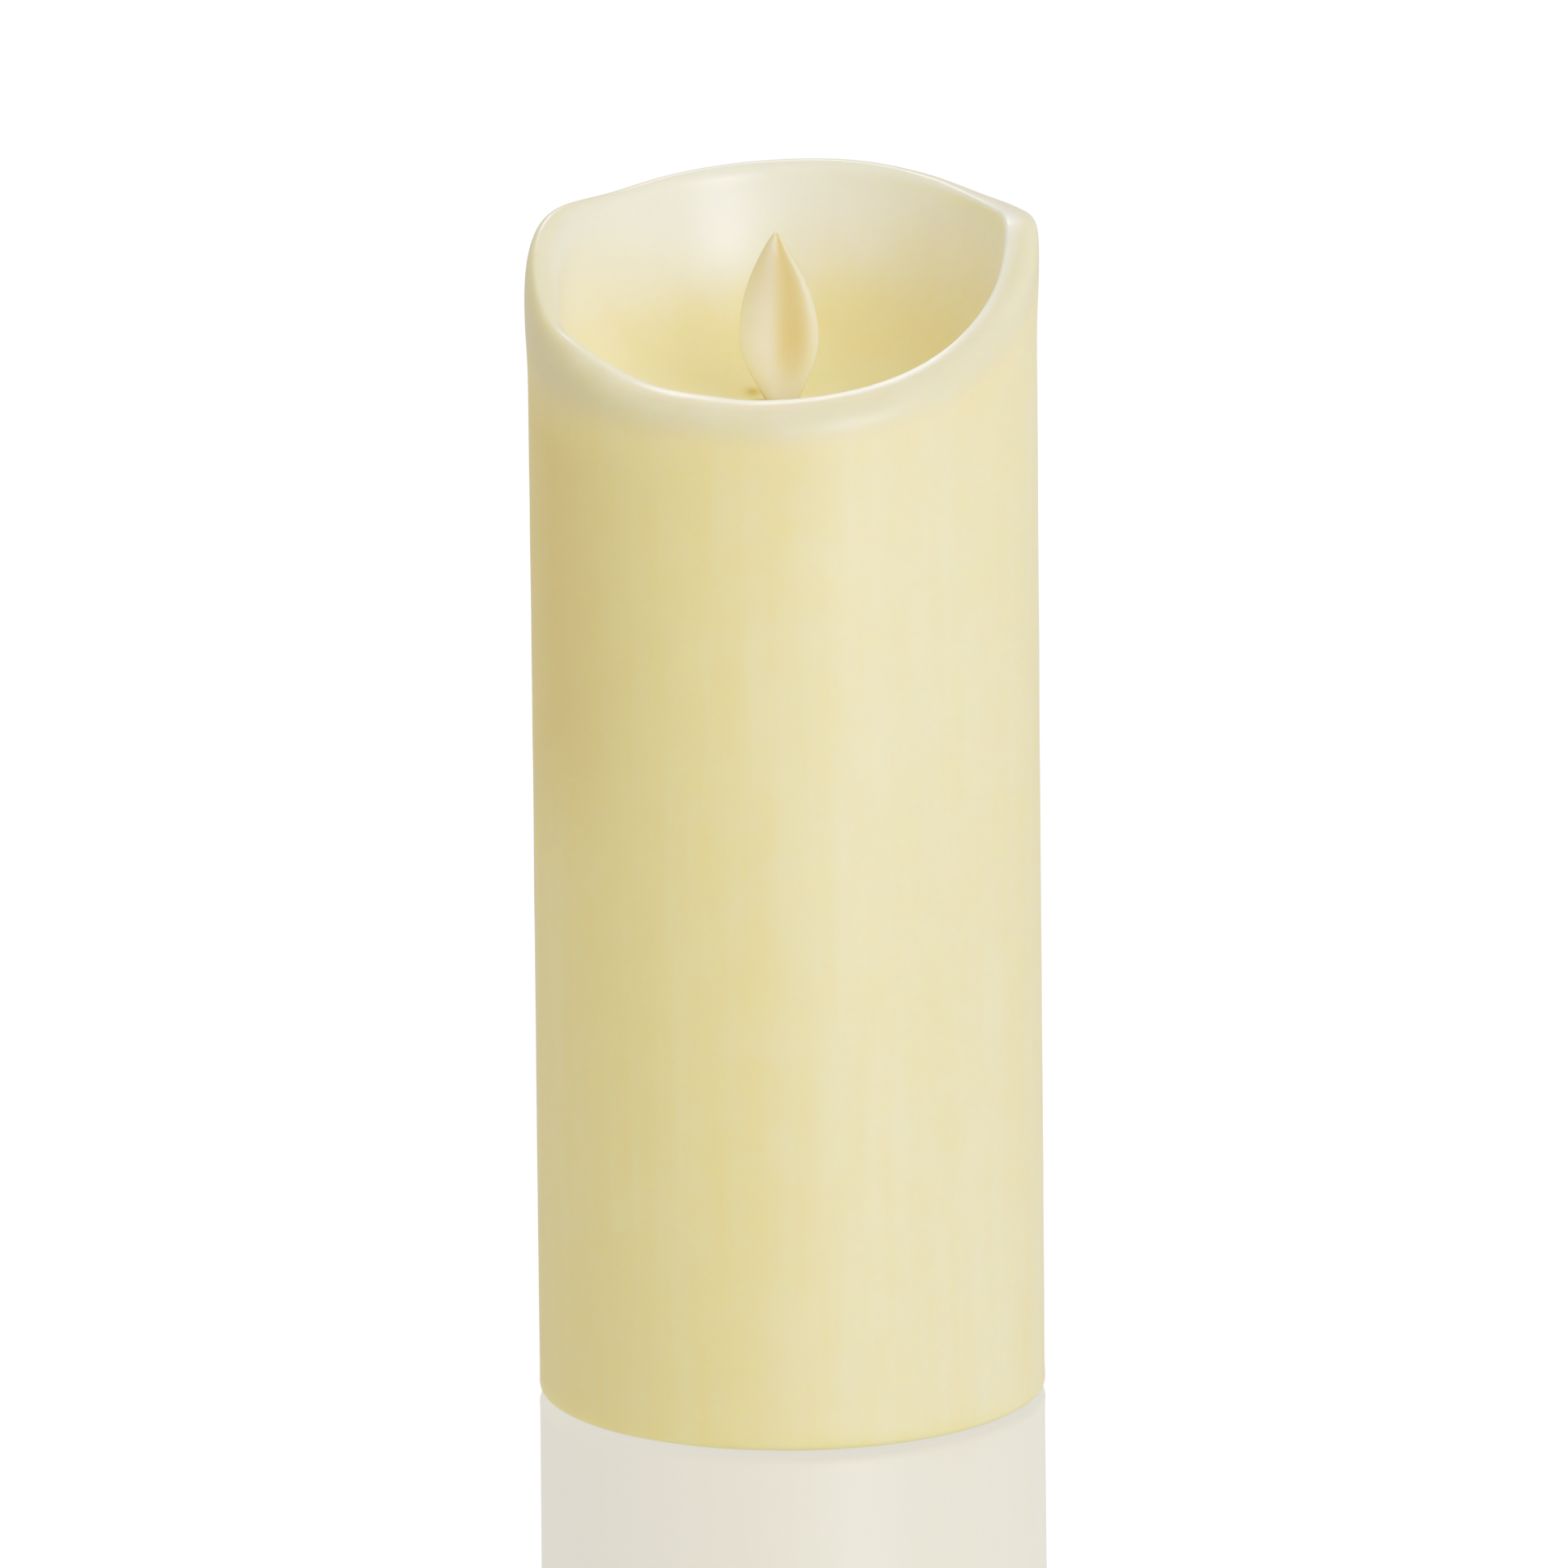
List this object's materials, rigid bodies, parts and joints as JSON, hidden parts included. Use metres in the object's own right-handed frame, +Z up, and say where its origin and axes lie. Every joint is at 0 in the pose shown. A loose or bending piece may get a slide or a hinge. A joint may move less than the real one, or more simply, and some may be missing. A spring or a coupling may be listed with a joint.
{
  "type": "flameless led candle",
  "caption": "Ivory real-wax pillar candle with a deep bowl, a wavy melted-look rim and a hanging plastic flame that sways, on a battery base.",
  "frame": {"origin": "centre of the base, on the surface that the candle stands on", "axes": "+Z up along the candle's axis, -Y towards the low front of the rim, +X to the right seen from the front"},
  "size_m": [0.081, 0.081, 0.1904],
  "materials": {
    "ivory_wax": "satin real wax, slightly translucent",
    "flame_plastic": "frosted translucent film",
    "nickel": "bright nickel plate",
    "steel": "drawn or stamped steel",
    "zinc": "zinc-plated screws",
    "copper_wire": "enamelled copper winding",
    "black_plastic": "fine matt moulded",
    "white_plastic": "satin moulded nylon",
    "ivory_plastic": "fine spark-textured moulding",
    "circuit_board": "green solder mask",
    "led_epoxy": "clear warm epoxy",
    "foam": "closed-cell foam",
    "rubber": "pale matt rubber",
    "cell_jacket": "printed foil jacket, plain",
    "capacitor_sleeve": "shrink sleeve",
    "red_lead": "PVC insulation",
    "black_lead": "PVC insulation",
    "white_lead": "PVC insulation"
  },
  "bodies": {
    "candle_body": {"base_plate": "ivory_plastic", "base_screw_1": "zinc", "base_screw_2": "zinc", "base_screw_3": "zinc", "battery_box": "black_plastic", "battery_cell_left": "cell_jacket", "battery_cell_right": "cell_jacket", "battery_lead_black": "black_lead", "battery_lead_red": "red_lead", "board_resistor_1": "black_plastic", "board_resistor_2": "black_plastic", "board_screw_left": "zinc", "board_screw_right": "zinc", "box_screw_left": "zinc", "box_screw_right": "zinc", "cell_spring": "nickel", "coil_bobbin": "white_plastic", "coil_core": "steel", "core_tube": "ivory_plastic", "deck_seal": "foam", "drive_coil": "copper_wire", "driver_transistor": "black_plastic", "engine_board": "circuit_board", "engine_connector": "white_plastic", "engine_housing_front": "black_plastic", "engine_housing_rear": "black_plastic", "engine_resistor": "black_plastic", "engine_screw_front": "zinc", "engine_screw_rear": "zinc", "filter_capacitor": "capacitor_sleeve", "flame_led": "led_epoxy", "foot_1": "rubber", "foot_2": "rubber", "foot_3": "rubber", "foot_4": "rubber", "harness_wire_black": "black_lead", "harness_wire_red": "red_lead", "harness_wire_white": "white_lead", "led_holder": "white_plastic", "main_board": "circuit_board", "negative_contact": "nickel", "pivot_wire": "steel", "positive_contact": "nickel", "slide_switch": "steel", "timer_chip": "black_plastic", "timer_crystal": "nickel", "wax_shell": "ivory_wax"},
    "flame": {"flame_leaf": "flame_plastic", "flame_magnet": "nickel"},
    "battery_door": {"battery_door": "ivory_plastic", "bridge_contact": "nickel", "door_spring": "nickel"},
    "switch_knob": {"switch_knob": "black_plastic"}
  },
  "joints": [
    {"name": "flame_swing", "type": "hinge", "parent": "candle_body", "child": "flame", "pos_m": [0, 0, 0.1488], "axis": [0, 1, 0], "range_deg": [-10, 10]},
    {"name": "battery_door_hinge", "type": "hinge", "parent": "candle_body", "child": "battery_door", "pos_m": [0, -0.0213, 0.0016], "axis": [-1, 0, 0], "range_deg": [0, 95]},
    {"name": "switch_slide", "type": "slide", "parent": "candle_body", "child": "switch_knob", "axis": [1, 0, 0], "range_m": [-0.002, 0.002]}
  ]
}
